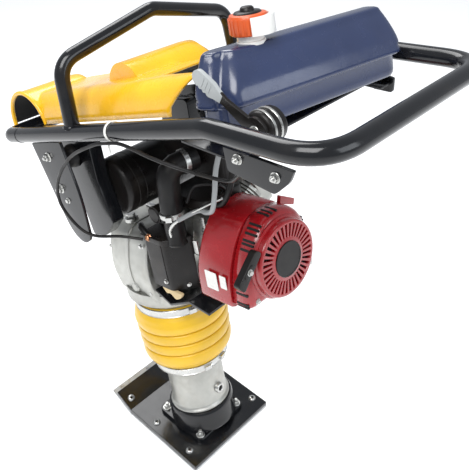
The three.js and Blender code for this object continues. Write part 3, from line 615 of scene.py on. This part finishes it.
def build_engine():
    piece("engine_shroud", shell_of(SHROUD, [(-215, 0.95), (-217, 0.985), (-222, 1), (-296, 1),
            (-299.6, 0.985)]),
          "red_paint", "machine", sharp=50, node="cooling_shroud")
    cover = shell_of(RECOIL, [(-300.4, 0.98), (-302, 1), (-326, 1), (-334, 0.985), (-341, 0.94),
                              (-345, 0.86)])
    piece("recoil_cover", cover, "red_paint", "machine", sharp=50)
    build_grille()
    piece("recoil_step", hoop(66, 79, -350, -343, "x", 96, SHAFT, 3), "red_paint", "machine")
    grip = prism(rounded([(62, 625), (74, 636), (128, 590), (116, 573)], 7), -362, -347, "x")
    inset = prism(rounded([(84, 610), (91, 617), (112, 600), (106, 592)], 4), -363.5, -361, "x")
    piece("starter_handle", joined(grip, inset), "black_plastic", "starter_grip", bevel=2.5,
          node="recoil_grip")
    piece("starter_bolt", hex_bolt((-363, 98, 605), (-1, 0, 0), 5), "zinc_steel", "starter_grip")
    wall = about_shaft(RECOIL, steps=16)
    # Painted shade: each vent is a dark strip on the wall, standing for the shade inside an opening.
    vents = (33, 39, 45, 55, 61, 67, 84, 90, 96, 150, 156, 162, -22, -28, -34)
    slots = [wall_slot(wall, degrees, -338, -310) for degrees in vents]
    piece("cover_vent_shade", joined(*slots), PAINTED_SHADE, "machine")
    spots = ((74, -54), (-74, -54), (64, 20), (-66, 28))
    screws = [hex_bolt((-345, y, ENGINE_Z + z), (-1, 0, 0), 4.4) for y, z in spots]
    piece("recoil_screws", joined(*screws), "zinc_steel", "machine", sharp=30)
    tab = prism(rounded([(-53, 652), (-91, 634), (-95, 646), (-58, 668)], 3), -309, -300, "x")
    piece("shroud_tab", tab, "red_paint", "machine", bevel=1)
    labels = [prism(rounded([(-271, 534), (-241, 534), (-241, 572), (-271, 572)], 2), 97.4, 98.3, "y")]
    labels.append(prism(rounded([(-295, 545), (-279, 545), (-279, 572), (-295, 572)], 2), 97.4, 98.3,
                        "y"))
    piece("blank_labels", joined(*labels), "porcelain", "machine")


def wall_slot(wall, degrees, x0, x1, width=4.6):
    """A slot of painted shade: a dark strip lying on the cover's curved side wall at an angle about the
    shaft.
    """
    middle = Vector((0, ENGINE_Z))
    aim = Vector((cos(radians(degrees)), sin(radians(degrees))))
    near = max(range(len(wall)), key=lambda i: (wall[i] - middle).normalized().dot(aim))
    here, ahead = wall[near], wall[(near + 1) % len(wall)] - wall[near - 1]
    out = Vector((0, ahead[1], -ahead[0])).normalized()
    if out[1] * aim[0] + out[2] * aim[1] < 0:
        out = -out
    slot = prism(rounded([(x0, -width / 2), (x1, -width / 2), (x1, width / 2), (x0, width / 2)], 2), -3,
                 0.35, "z")
    across = out.cross(Vector((1, 0, 0)))
    turn = Matrix((Vector((1, 0, 0)), across, out)).transposed().to_4x4()
    return moved(slot, Matrix.Translation((0, here[0], here[1])) @ turn)


def build_grille():
    """The round starter grille: a ring, a hub and 36 spokes over a dark disc of painted shade."""
    bar = prism([(-1.7, 41), (1.7, 41), (2.8, 67.5), (-2.8, 67.5)], -362, -357, "x")
    spokes = around(bar, 36, "X", SHAFT)
    ring = lathe([(66, -352), (74, -344), (74, -358), (72.5, -361), (70, -362), (67, -361.6),
                  (66, -360)],
                 "x", 120, SHAFT)
    hub = lathe([(0, -362), (40, -362), (42.5, -361), (43, -359), (43, -352), (0, -352)], "x", 96,
                SHAFT)
    piece("recoil_grille", joined(ring, hub, *spokes), "red_paint", "machine", sharp=45,
          node="recoil_housing")
    # Painted shade: a dark disc behind the spokes stands for the shade inside the grille.
    piece("grille_painted_shade", disc(67, -351, -347, "x", 72, SHAFT), PAINTED_SHADE, "machine")
    badge = joined(disc(33, -364, -361.5, "x", 96, SHAFT, 0.8),
                   hoop(31, 34.5, -364.4, -361.5, "x", 96, SHAFT))
    piece("centre_badge", badge, "black_plastic", "machine")


def build_intake():
    cover = prism(rounded([(-70, 58), (-70, 102), (-131, 102), (-172, 58)], 8), 486, 600, "z")
    piece("carb_cover", cover, "black_plastic", "machine", bevel=3.5, sharp=30,
          node="carburettor_cover")
    panel = prism(rounded([(-78, 496), (-124, 496), (-124, 590), (-78, 590)], 6), 101.4, 103.2, "y")
    piece("carb_panel", panel, "black_plastic", "machine", bevel=0.7)
    piece("carb_stub", lathe([(0, 590), (20, 590), (21.5, 594), (20, 598), (20, 640), (21, 644),
                              (0, 644)], steps=48,
                             at=CARB), "black_rubber", "machine")
    screws = [hex_bolt((-119, 102.5, 506), (0, 1, 0), 4.4),
              hex_bolt((-154, 76, 496), (-0.7, 0.7, 0), 4.4)]
    piece("carb_screws", joined(*screws), "zinc_steel", "machine", sharp=30)
    run = bent([(-148, 76, 646), (-154, 72, 749), (-168, 12, 749)], 34, 14)
    piece("elbow", sweep(run, lambda t: 22 + 0.7 * sin(t * 60) * (0.3 < t < 0.8), 48), "black_rubber",
          "machine",
          sharp=60, node="intake_elbow")
    clamps = joined(hoop(21.6, 24.2, 650, 660, steps=60, at=CARB),
                    moved(box(22, 30, -6, 6, 650, 660),
                          Matrix.Translation(CARB) @ Matrix.Rotation(2.2, 4, "Z")),
                    aimed(hoop(21.8, 24.4, 0, 10, steps=60), (-160, 40, 749), (-0.23, -0.97, 0)))
    piece("elbow_clamps", clamps, "zinc_steel", "machine", sharp=35)
    under = [(-56, 459), (-105, 437), (-169, 466), (-225, 459)]
    skid = prism(under + [(x, z + 6) for x, z in reversed(under)], 4, 96, "y")
    piece("engine_skid", skid, "black_paint", "machine", bevel=1.2, sharp=25, node="engine_cradle")
    skid_bolts = [hex_bolt((x, y, 460), (0, 0, -1), 5) for x in (-84, -196) for y in (24, 78)]
    piece("skid_bolts", joined(*skid_bolts), "zinc_steel", "machine", sharp=30)
    gasket = rounded([(-96, 486), (-108, 472), (-120, 477), (-134, 466), (-150, 474), (-158, 486)], 5)
    piece("carb_gasket", prism(gasket, 94, 101, "y"), "filter_paper", "machine", bevel=0.8)
    lid = rounded([(-64, 54), (-64, 106), (-134, 106), (-176, 56)], 10)
    piece("carb_lid", prism(lid, 591, 603, "z"), "black_plastic", "machine", bevel=2.5, sharp=30)
    top = rounded([(-212, -58), (-212, 40), (-150, 46), (-96, 34), (-96, -58)], 14)
    piece("engine_top", prism(top, 652, 676, "z"), "black_plastic", "machine", bevel=4, sharp=30)
    can = joined(disc(17, -8, 26, "y", 48, (-96, 58, 640), 3),
                 hoop(12, 18.4, 20, 24, "y", 48, (-96, 58, 640)))
    piece("breather_can", can, "black_plastic", "machine")
    lead = smooth([(-206, -20, 672), (-214, 10, 700), (-190, 44, 706), (-176, 58, 676)], 8)
    piece("spark_lead", sweep(lead, 3.4, 16), "black_rubber", "machine")
    second = smooth([(-236, -8, 768), (-252, -4, 764), (-266, 10, 744), (-262, 24, 706),
                     (-242, 28, 676), (-210, 26, 664)], 8)
    piece("return_hose", sweep(second, 6, 18), "black_rubber", "machine")
    rod = sweep([(-166, 80, 648), (-304, 80, 724)], 2.2, 12)
    piece("link_rod", rod, "zinc_steel", "machine")
    choke = prism(rounded([(-192, 570), (-180, 570), (-180, 600), (-192, 600)], 4), 62.2, 66, "y")
    piece("choke_arm", choke, "zinc_steel", "choke", bevel=0.6, node="choke_lever")
    governor = prism(rounded([(-205, 606), (-195, 606), (-195, 646), (-205, 646)], 3), 46.8, 49.6, "y")
    piece("governor_plate", governor, "zinc_steel", "governor", bevel=0.5, node="governor_arm")


def build_air_cleaner():
    cup = lathe([(0, 105), (48, 105), (54, 104), (58.5, 100), (60, 95), (60, -72), (58.5, -74),
                 (60, -76), (60, -80),
                 (54, -80), (54, 95), (0, 95)][::-1], "y", 96, DRUM)
    piece("filter_drum", cup, "black_plastic", "machine", sharp=50, node="air_drum")
    lid = lathe([(0, -100), (44, -100), (50, -99), (56, -96), (60, -90), (60, -80.4), (0, -80.4)],
                "y", 96, DRUM)
    piece("filter_drum_lid", lid, "black_plastic", "machine", sharp=50, node="air_drum_lid")
    ridges = [hoop(58, 60.6, y, y + 3, "y", 96, DRUM, 1) for y in (60, 78)]
    piece("drum_ridges", joined(*ridges), "black_plastic", "machine")
    lump = prism(rounded([(-238, 700), (-238, 778), (-160, 790), (-68, 778), (-68, 742), (-150, 700)],
                         10), -62, 5, "y")
    piece("filter_box", lump, "black_plastic", "machine", bevel=4, sharp=30, node="air_box")


# ---------- frame ----------
def rail(s, y, lift=0):
    return Vector((s * cos(RAIL_SLOPE) + lift * sin(RAIL_SLOPE), y,
                   RAIL_Z - s * sin(RAIL_SLOPE) + lift * cos(RAIL_SLOPE)))


def build_frame():
    bend = rail(-449, RAIL_Y)
    angle = LEAN - radians(7)

    def rear(y):
        return Vector((bend[0] - 192 * cos(angle), y, bend[2] - 192 * sin(angle)))

    bar = bent([rail(104.7, RAIL_Y), bend, rear(RAIL_Y), rear(-RAIL_Y), rail(-449, -RAIL_Y),
                rail(104.7, -RAIL_Y)], 70)
    piece("handle", sweep(bar, RAIL_R, 40), "black_paint", "machine", sharp=60, node="handle_tube")
    front = bent([rail(105, RAIL_Y), rail(165, RAIL_Y), rail(165, -RAIL_Y), rail(105, -RAIL_Y)], 45)
    piece("front_tube", sweep(front, RAIL_R, 40), "black_paint", "machine", sharp=60, node="front_bar")
    up = Vector((-sin(LEAN), 0, cos(LEAN)))
    ahead = Vector((cos(LEAN), 0, sin(LEAN)))

    def hoop_at(y, rise, forward):
        base = rail(-95, 0) + up * rise + ahead * forward
        return Vector((base[0], y, base[2]))
    corners = [hoop_at(RAIL_Y, 8, 0), hoop_at(196, 118, 23), hoop_at(0, 167, 16),
               hoop_at(-196, 118, 23),
               hoop_at(-RAIL_Y, 8, 0)]
    piece("lift_hoop", sweep(bent(corners, 45), 13, 36), "black_paint", "machine", sharp=60,
          node="lifting_hoop")
    seams = []
    for side in (1, -1):
        centre, along = rail(104.8, side * RAIL_Y), rail(1, 0) - rail(0, 0)
        seams.append(aimed(lathe([(14.6, -2), (15.5, -1), (15.9, 0), (15.5, 1), (14.6, 2)], steps=48),
                           centre, along))
        foot = hoop_at(side * RAIL_Y, 14, 1)
        seams.append(aimed(lathe([(12.6, -3), (15.5, -2.4), (14.6, 0), (13.6, 2), (12.6, 3)], steps=48),
                           foot, up))
    piece("weld_seams", joined(*seams), "black_paint", "machine", sharp=60)
    tie = joined(aimed(hoop(15.6, 17.2, -2.5, 2.5, steps=48), rail(-222, RAIL_Y),
                       rail(1, 0) - rail(0, 0)),
                 aimed(sweep([(0, 0, 0), (3, 2, -9), (1, 3, -20)], 1.6, 10),
                       rail(-222, RAIL_Y + 12, -12), (0, 0, 1)))
    piece("zip_tie", tie, "porcelain", "machine", sharp=50)


def build_brackets():
    front = rounded([(108, 801, 4), (-4, 820, 4), (-26, 716, 30), (-24, 618, 14), (6, 600, 22),
                     (44, 622, 30)], 6)
    arm = rounded([(88, 802, 14), (-20, 806, 14), (-18, 720, 14), (-38, 636, 6), (2, 596, 8),
                   (48, 586, 8)], 10)

    def span(low, high):
        """Distances out from the middle plane, as y from low to high on this side."""
        return (low, high) if side > 0 else (-high, -low)

    for side, name in ((1, "left"), (-1, "right")):
        piece(f"front_plate_{name}", prism(front, *span(182, 188), "y"), "black_paint", "machine",
              bevel=1.4,
              sharp=30, node=f"front_bracket_{name}")
        piece(f"machine_plate_{name}", prism(arm, *span(112, 140), "y"), "black_paint", "machine",
              bevel=2.5,
              sharp=30, node=f"machine_bracket_{name}")
        low, high = span(140.3, 181.7)
        mount = lathe([(0, low), (24, low), (24, low + 4), (22, low + 8), (19.5, (low + high) / 2),
                       (22, high - 8),
                       (24, high - 4), (24, high), (0, high)], "y", 60, (48, 0, 766))
        piece(f"rubber_mount_{name}", mount, "black_rubber", "machine", sharp=60,
              node=f"shock_mount_{name}")
        spots = [(53, 781), (37, 717)]
        heads = [hex_bolt((x, side * 188, z), (0, side, 0), 8, 4) for x, z in spots]
        heads.append(hex_bolt((22, side * 188, 694), (0, side, 0), 5))
        piece(f"front_plate_bolts_{name}", joined(*heads), "zinc_steel", "machine", sharp=30)
    cheek = rounded([(-450, 886, 3), (-452, 850, 6), (-534, 832, 6), (-562, 854, 6), (-572, 872, 3)], 4)
    short = rounded([(-440, 884, 3), (-442, 850, 6), (-482, 846, 6), (-486, 872, 3)], 4)
    tray = [(-450, 865), (-360, 876), (-360, 880), (-450, 869)]
    tab = [(-480, 861), (-440, 866), (-440, 870), (-480, 865)]
    carrier = joined(prism(cheek, 182, 188, "y"), prism(short, -188, -182, "y"),
                     prism(tray, -185, 185, "y"),
                     prism(tab, 150, 185, "y"), prism(tab, -185, -150, "y"))
    piece("tank_tray", carrier, "black_paint", "machine", bevel=1.0, sharp=30, node="tank_carrier")
    nuts = [hex_bolt((x, 188, z), (0, 1, 0), 6.5, 3) for x, z in ((-476, 872), (-540, 858))]
    nuts.append(hex_bolt((-464, -188, 866), (0, -1, 0), 6.5, 3))
    piece("tray_nuts", joined(*nuts), "zinc_steel", "machine", sharp=30)


# ---------- tank, cap, throttle ----------
def build_tank():
    seam = [(-352, 134, 14), (-384, 166, 8), (-412, 160, 8), (-414, 146, 5), (-440, 138, 14),
            (-512, -184, 26),
            (-410, -184, 20)]
    ridge = [(-358, 116, 12), (-374, 136, 8), (-390, 126, 6), (-394, 112, 4), (-410, 104, 12),
             (-470, -188, 14),
             (-440, -184, 8)]

    def lower(along_x, along_y, z):
        return z, [(-432 + (x + 432) * along_x, -10 + (y + 10) * along_y, r) for x, y, r in seam]

    def rise(t, z):
        pairs = zip(seam, ridge)
        return z, [tuple(a + (b - a) * t ** 1.5 for a, b in zip(low, high)) for low, high in pairs]

    def crown(across, along, z):
        """The ridge drawn in towards the slanting middle line of the top."""
        middle = -410
        outline = []
        for x, y, r in ridge:
            new_y = -30 + (y + 30) * along
            offset = x - (middle + 0.2 * y)
            outline.append((middle + 0.2 * new_y + offset * across, new_y, r * across))
        return z, outline

    layers = [lower(0.78, 0.93, 883), lower(0.84, 0.945, 884.5), lower(0.87, 0.953, 889),
              lower(0.88, 0.955, 896),
              lower(0.88, 0.955, 918), lower(0.91, 0.965, 920), lower(0.975, 0.99, 921),
              lower(1, 1, 923),
              lower(1, 1, 927), lower(0.985, 0.995, 929.5), lower(0.97, 0.99, 932)]
    layers += [rise(t, 930 + 56 * t) for t in (0.16, 0.3, 0.45, 0.6, 0.75, 0.88, 1)]
    layers += [crown(0.96, 0.994, 988.5), crown(0.88, 0.985, 990.4), crown(0.72, 0.97, 991.6),
               crown(0.4, 0.95, 992)]
    rows = [[Vector((x, y, z)) for x, y in rounded(corners, 20, 10)] for z, corners in layers]
    piece("tank", loft(rows), "blue_plastic", "machine", sharp=65, node="fuel_tank")
    build_cap()


def build_cap():
    """The filler neck, its ribbed cap with a knob, and a white crescent round the cap, thickest towards
    the camera's right: a painted highlight on the cap's lit side.
    """
    at = (*CAP, 0)
    collar = joined(hoop(15, 22, 988, 994, steps=60, at=at), hoop(15, 20.5, 994, 1003, steps=60, at=at))
    piece("filler_neck", collar, "porcelain", "machine")
    rim = [(0, 1003.4), (28, 1003.4), (29, 1005), (29, 1028), (27, 1032), (14, 1034), (0, 1034)]
    ribs = around(box(28, 30, -2.1, 2.1, 1005, 1028), 22, "Z", at)
    piece("cap", joined(lathe(rim, steps=66, at=at), *ribs), "orange_plastic", "filler_cap", bevel=0.5,
          sharp=40, node="fuel_cap")
    knob = lathe([(0, 1031), (20, 1031), (21, 1033), (19, 1035.4), (11, 1036), (10, 1040), (8, 1042),
                  (0, 1042)],
                 steps=48, at=at)
    piece("cap_knob", knob, "black_plastic", "filler_cap", sharp=50)
    # Painted highlight: a white crescent hugging the cap's lit side, facing the camera's right.
    facing = radians(222)
    centre = (CAP[0] + 8 * cos(facing), CAP[1] + 8 * sin(facing))
    highlight_crescent = []
    for i in range(33):
        angle = facing + radians(-98 + 196 * i / 32)
        highlight_crescent.append((centre[0] + 31 * cos(angle), centre[1] + 31 * sin(angle)))
    for i in range(25):
        angle = facing + radians(80 - 160 * i / 24)
        highlight_crescent.append((CAP[0] + 30.8 * cos(angle), CAP[1] + 30.8 * sin(angle)))
    piece("cap_painted_highlight", prism(highlight_crescent, 1003, 1030, "z"), "porcelain", "machine", bevel=1.2, sharp=30)


def build_throttle():
    x, y, z = HUB
    drum = lathe([(8, -18), (24, -18), (25, -16), (25, 8), (23.5, 12), (21, 14), (8, 14)], "y", 72, HUB)
    piece("throttle_drum", drum, "black_plastic", "machine", sharp=50, node="throttle_hub")
    rings = joined(hoop(25, 26.4, -8, -4, "y", 72, HUB), hoop(25, 26.4, 4, 8, "y", 72, HUB))
    piece("throttle_rings", rings, "zinc_steel", "machine")
    turn = Matrix.Translation((x, y, z)) @ Matrix.Rotation(-radians(35), 4, "Y")
    boss = [(20 * cos(a), 20 * sin(a)) for a in (0.5 + (2 * pi - 1) * i / 24 for i in range(25))]
    neck = prism(boss + [(60, -6), (76, -8), (76, 8), (60, 6)], 14.3, 20.3, "y")
    piece("throttle_arm", moved(neck, turn), "black_plastic", "throttle", bevel=1.3, sharp=30,
          node="throttle_lever")
    pad = [(66, -6), (78, -9), (86, -12.5)]
    for i in range(3):
        pad += [(90 + 8 * i, -12.5), (93 + 8 * i, -10.5), (96 + 8 * i, -12.5)]
    pad += [(112 + 12 * cos(a), 12 * sin(a)) for a in (-pi / 2 + pi * i / 12 for i in range(13))]
    pad += [(86, 12), (78, 9), (66, 6)]
    ridges = [box(88 + 7 * i, 91 + 7 * i, 20.6, 21.6, -8, 8) for i in range(3)]
    grip = joined(prism(pad, 14.6, 21, "y"), *ridges)
    piece("throttle_pad", moved(grip, turn), "grey_plastic", "throttle", bevel=0.7, sharp=30)
    piece("throttle_pivot", hex_bolt((x, y + 20, z), (0, 1, 0), 7, 2), "zinc_steel", "throttle",
          sharp=30)


# ---------- hood ----------
ABSENT = -99


def lobe(s, centre, base, half, rise):
    """Height of a rounded lobe at s along the rails."""
    d = (s - centre) / half
    return base + rise * sqrt(1 - d * d) if abs(d) < 1 else ABSENT


def rear_edge(lift):
    """How far back the near side wall reaches at each height: an S-shaped edge."""
    stops = [(8, -329), (22, -334), (49, -367), (66, -392)]
    for (l0, s0), (l1, s1) in zip(stops, stops[1:]):
        if lift <= l1:
            return s0 + (s1 - s0) * max(0, lift - l0) / (l1 - l0)
    return stops[-1][1]


def build_hood():
    """One moulded skin in the rails' frame, across from the left wall's edge and over the roof."""
    across = [(168, 8), (167, 22), (164, 36), (160, 47), (155, 55), (148, 61), (140, 63.4), (128, 64),
              (110.4, 64),
              (109.6, 64), (96, 64), (80, 64), (60, 64), (44, 64), (34, 64), (26, 63.6), (20, 62),
              (15, 58), (8, 51),
              (0, 47), (-12, 46), (-30, 46), (-50, 46), (-62, 46), (-69.6, 46), (-72, 46), (-90, 46),
              (-120, 46),
              (-140, 45), (-152, 40), (-160, 28), (-168, 8)]
    front = [134 + 68 * cos(pi * (1 - i / 36)) for i in range(37)]
    rear = [-392 + 14 * i for i in range(14)] + [-150 + 48 * cos(pi * (1 - i / 24)) for i in range(25)]
    rows = sorted(set(round(s, 2) for s in rear + [-90 + 13 * i for i in range(12)] + front))

    def height(s, y, cap):
        z = cap if s < 95 else ABSENT
        nose = lobe(s, 134, 8, 68, 68)
        if y >= 15 and nose > ABSENT:
            ends = min(1, (y - 15) / 24)
            z = max(z, 8 + (nose - 8) * sqrt(1 - (1 - ends) ** 2))
        back = lobe(s, -150, 40, 48, 52)
        if -70 <= y <= 110:
            ends = min(1, (y + 70) / 26)
            z = max(z, 40 + (back - 40) * sqrt(1 - (1 - ends) ** 2))
        return z
    points, index, faces = [], {}, []
    for i, s in enumerate(rows):
        for j, (y, cap) in enumerate(across):
            limit = rear_edge(cap) if y > 140 else (-392 if y > 134 else -290)
            t = s if s > -200 else -200 + (s + 200) * (limit + 200) / (-192)
            z = height(t, y, cap)
            if z > ABSENT:
                index[i, j] = len(points)
                points.append(Vector((t, y, z)))
    for i in range(len(rows) - 1):
        for j in range(len(across) - 1):
            keys = [(i, j), (i + 1, j), (i + 1, j + 1), (i, j + 1)]
            far_front = across[j + 1][0] < 15 and rows[i + 1] > 84
            if all(k in index for k in keys) and not far_front:
                faces.append(tuple(index[k] for k in keys))
    skin = piece("hood_skin", (points, faces), "yellow_plastic", "machine", RAILS, sharp=50,
                 node="hood")
    # Painted shade: the solidified skin's inner faces take the near-black material, darkening the
    # hood's underside.
    thick = skin.modifiers.new("thickness", "SOLIDIFY")
    thick.thickness = 0.0036
    thick.offset = -1
    thick.material_offset = 1
    skin.data.materials.append(PAINTED_SHADE)
    arch = [(134 + 66 * cos(a), 166, 8 + 66 * sin(a)) for a in (pi * i / 40 for i in range(41))]
    piece("hood_rim", sweep(arch, 4.2, 16), "yellow_plastic", "machine", RAILS)


# ---------- cables and hoses ----------
def build_hoses():
    cable = [(-470, 176, 856), (-438, 158, 826), (-401, 150, 808), (-357, 186, 832), (-309, 204, 849),
             (-252, 214, 866),
             (-220, 222, 866), (-184, 226, 858), (-106, 228, 824), (-36, 226, 765), (-5, 218, 707),
             (-20, 204, 655),
             (-38, 184, 630), (-52, 140, 610), (-84, 112, 598)]
    piece("cable", sweep(smooth(cable), 3, 16), "black_rubber", "machine", node="throttle_cable")
    fuel = [(-371.5, 60, 891), (-350, 60, 887), (-335, 60, 868), (-328, 60, 850), (-318, 74, 820),
            (-306, 84, 780), (-302, 92, 740), (-290, 94, 705), (-260, 84, 688),
            (-225, 74, 678), (-190, 96, 660)]
    inlet = smooth([(-192, 95, 661), (-178, 99, 650), (-158, 96, 628), (-150, 88, 600)], 8)
    piece("petrol_inlet", sweep(inlet, 3.4, 16), "zinc_steel", "machine")
    piece("petrol_hose", sweep(smooth(fuel), 4.5, 20), "grey_rubber", "machine", node="fuel_hose")


def finish_cad_nodes():
    """CAD nodes that stay on show take their detailed material from the record's slots."""
    slots = {row["node"]: row["material_slot"] for row in frame["record"]["subparts"]}
    for name, obj in frame["nodes"].items():
        obj.data.materials.clear()
        obj.data.materials.append(M[slots[name]])


# ---------- stage and light ----------
def build_stage():
    mesh = bpy.data.meshes.new("floor")
    mesh.from_pydata([(-6, -6, 0), (6, -6, 0), (6, 6, 0), (-6, 6, 0)], [], [(0, 1, 2, 3)])
    floor = bpy.data.objects.new("floor", mesh)
    bpy.context.scene.collection.objects.link(floor)
    plain = bpy.data.materials.new("floor_pale")
    plain.use_nodes = True
    shader = plain.node_tree.nodes["Principled BSDF"].inputs
    shader["Base Color"].default_value = (0.9, 0.9, 0.9, 1)
    shader["Roughness"].default_value = 0.8
    shader["Emission Color"].default_value = (1, 1, 1, 1)
    shader["Emission Strength"].default_value = 0.38
    mesh.materials.append(plain)


def lamp(name, where, target, size, power, tint=(1, 1, 1)):
    data = bpy.data.lights.new(name, "AREA")
    data.shape = "SQUARE"
    data.size = size
    data.energy = power
    data.color = tint
    obj = bpy.data.objects.new(name, data)
    obj.location = where
    obj.rotation_euler = (Vector(target) - Vector(where)).to_track_quat("-Z", "Y").to_euler()
    bpy.context.scene.collection.objects.link(obj)


def build_light():
    world = bpy.data.worlds.new("studio")
    bpy.context.scene.world = world
    world.use_nodes = True
    sky = world.node_tree.nodes["Background"].inputs
    sky["Color"].default_value = (0.90, 0.94, 1.0, 1)
    sky["Strength"].default_value = 0.55
    middle = (-0.05, 0, 0.55)
    lamp("key", (-0.6, 1.5, 3.0), middle, 1.6, 66)
    lamp("fill", (-2.6, -0.4, 2.0), middle, 1.6, 24, (0.9, 0.95, 1))
    lamp("back", (1.6, -0.6, 2.8), middle, 1.6, 46)
    bpy.context.scene.view_settings.view_transform = "Standard"


finish_cad_nodes()
build_foot()
build_leg()
build_gearbox()
build_engine()
build_intake()
build_air_cleaner()
build_frame()
build_brackets()
build_tank()
build_throttle()
build_hood()
build_hoses()
build_stage()
build_light()
